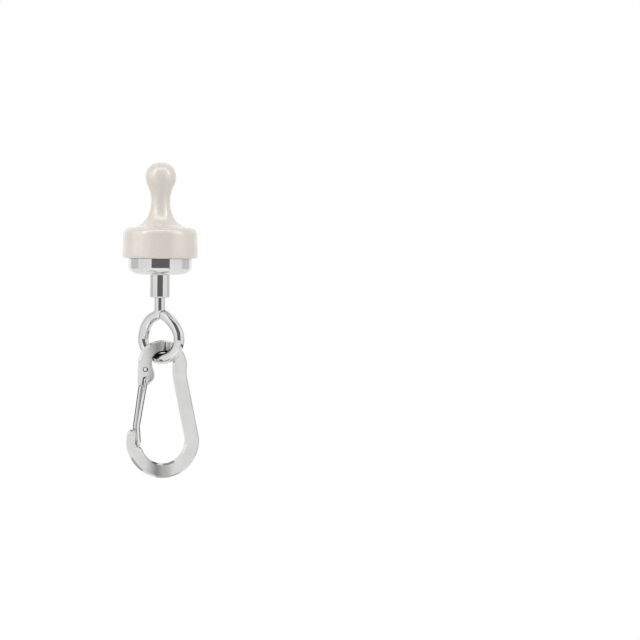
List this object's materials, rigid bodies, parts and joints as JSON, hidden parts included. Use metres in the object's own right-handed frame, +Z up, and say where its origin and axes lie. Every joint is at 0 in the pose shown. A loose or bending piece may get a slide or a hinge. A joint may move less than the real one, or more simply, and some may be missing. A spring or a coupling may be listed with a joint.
{
  "type": "magnetic hook",
  "caption": "Pawn-shaped knob magnet on a round pot magnet, with a wire eye bolt below that carries a flat snap carabiner; clamps thin sheet or grips steel to hang light things.",
  "frame": {"origin": "middle of the pot magnet's pulling face, on the hook's axis", "axes": "+Z up through the knob along the hook's axis, +X to the right in the picture, -Y towards its viewer"},
  "size_m": [0.0305, 0.0296, 0.1244],
  "materials": {
    "knob": "smooth cream plastic",
    "nickel": "nickel plating",
    "polished_steel": "bright plated steel",
    "spacer": "dark potting resin",
    "wire": "bright steel wire",
    "plate": "tumbled stainless steel",
    "gate": "bright spring steel wire"
  },
  "bodies": {
    "pot": {"pot_cup": "polished_steel", "pot_magnet": "nickel", "magnet_spacer": "spacer", "threaded_sleeve": "polished_steel"},
    "knob": {"knob_shell": "knob", "knob_magnet": "nickel"},
    "eye": {"eye_bolt": "wire"},
    "carabiner": {"carabiner_frame": "plate"},
    "gate": {"gate_wire": "gate"}
  },
  "joints": [
    {"name": "knob_lift", "type": "slide", "parent": "pot", "child": "knob", "axis": [0, 0, 1], "range_m": [0, 0.04]},
    {"name": "eye_turn", "type": "hinge", "parent": "pot", "child": "eye", "pos_m": [0, 0, -0.0152], "axis": [0, 0, 1], "continuous": true},
    {"name": "carabiner_swing", "type": "hinge", "parent": "eye", "child": "carabiner", "pos_m": [0.00066, -0.00041, -0.0392], "axis": [0.848, -0.5299, 0], "range_deg": [-90, 30]},
    {"name": "gate_open", "type": "hinge", "parent": "carabiner", "child": "gate", "pos_m": [-0.00552, -0.00355, -0.0433], "axis": [0.3746, -0.9272, 0], "range_deg": [0, 22], "stiffness_Nm_per_rad": 0.04, "springref_deg": -17.19}
  ]
}
